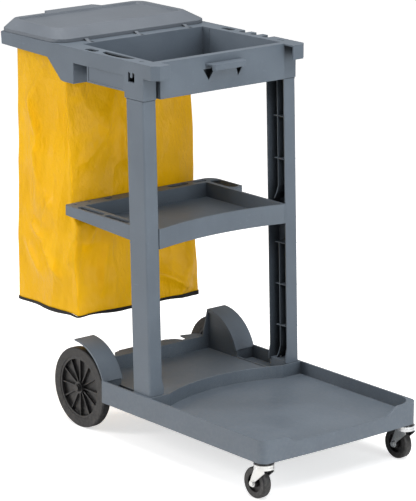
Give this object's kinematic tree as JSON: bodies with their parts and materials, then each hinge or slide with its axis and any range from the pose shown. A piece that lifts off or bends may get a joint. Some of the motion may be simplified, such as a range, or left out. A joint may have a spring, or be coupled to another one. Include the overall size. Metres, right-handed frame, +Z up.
{
  "type": "housekeeping cart",
  "caption": "Moulded cleaning cart with a recessed platform, shelf, top tray, hinged lid and hanging bag on rear wheels and swivel casters.",
  "frame": {"origin": "centre of the cart's box, on the floor", "axes": "+X forward from the bag to the platform, +Y to the cart's left, +Z up"},
  "size_m": [1.054, 0.492, 0.984],
  "materials": {
    "frame_plastic": "blue-grey structural foam moulding, satin",
    "lid_plastic": "blue-grey moulding, satin",
    "zinc_steel": "bright zinc plate",
    "bag_vinyl": "yellow coated vinyl fabric",
    "bag_binding": "black woven binding and base board",
    "black_plastic": "black nylon moulding",
    "wheel_rubber": "dark grey rubber"
  },
  "bodies": {
    "cart_frame": {"base_deck": "frame_plastic", "right_post": "frame_plastic", "left_post": "frame_plastic", "middle_shelf": "frame_plastic", "top_tray": "frame_plastic", "post_screws": "zinc_steel", "shelf_screws": "zinc_steel", "lid_hinge_pins": "zinc_steel", "bag": "bag_vinyl", "bag_base": "bag_binding", "bag_grommets": "zinc_steel", "rear_axle": "zinc_steel", "axle_spacers": "zinc_steel", "axle_caps": "black_plastic", "right_caster_stem": "zinc_steel", "left_caster_stem": "zinc_steel", "right_caster_cap": "black_plastic", "left_caster_cap": "black_plastic"},
    "lid_body": {"lid": "lid_plastic"},
    "right_rear_wheel_body": {"right_rear_wheel": "black_plastic", "right_rear_tyre": "wheel_rubber"},
    "right_caster_swivel": {"right_caster_fork": "zinc_steel", "right_caster_bolt": "zinc_steel", "right_caster_nut": "zinc_steel", "right_caster_sleeve": "zinc_steel"},
    "right_caster_wheel": {"right_caster_hub": "black_plastic", "right_caster_tyre": "wheel_rubber"},
    "left_rear_wheel_body": {"left_rear_wheel": "black_plastic", "left_rear_tyre": "wheel_rubber"},
    "left_caster_swivel": {"left_caster_fork": "zinc_steel", "left_caster_bolt": "zinc_steel", "left_caster_nut": "zinc_steel", "left_caster_sleeve": "zinc_steel"},
    "left_caster_wheel": {"left_caster_hub": "black_plastic", "left_caster_tyre": "wheel_rubber"}
  },
  "joints": [
    {"name": "lid_hinge", "type": "hinge", "parent": "cart_frame", "child": "lid_body", "pos_m": [-0.234, 0, 0.948], "axis": [0, 1, 0], "range_deg": [0, 100]},
    {"name": "right_rear_wheel_spin", "type": "hinge", "parent": "cart_frame", "child": "right_rear_wheel_body", "pos_m": [-0.195, -0.217, 0.1015], "axis": [0, 1, 0], "continuous": true},
    {"name": "left_rear_wheel_spin", "type": "hinge", "parent": "cart_frame", "child": "left_rear_wheel_body", "pos_m": [-0.195, 0.217, 0.1015], "axis": [0, 1, 0], "continuous": true},
    {"name": "right_caster_turn", "type": "hinge", "parent": "cart_frame", "child": "right_caster_swivel", "pos_m": [0.501, -0.222, 0.08], "axis": [0, 0, 1], "continuous": true},
    {"name": "right_caster_roll", "type": "hinge", "parent": "right_caster_swivel", "child": "right_caster_wheel", "pos_m": [0.479, -0.222, 0.0375], "axis": [0, 1, 0], "continuous": true},
    {"name": "left_caster_turn", "type": "hinge", "parent": "cart_frame", "child": "left_caster_swivel", "pos_m": [0.501, 0.222, 0.08], "axis": [0, 0, 1], "continuous": true},
    {"name": "left_caster_roll", "type": "hinge", "parent": "left_caster_swivel", "child": "left_caster_wheel", "pos_m": [0.479, 0.222, 0.0375], "axis": [0, 1, 0], "continuous": true}
  ]
}
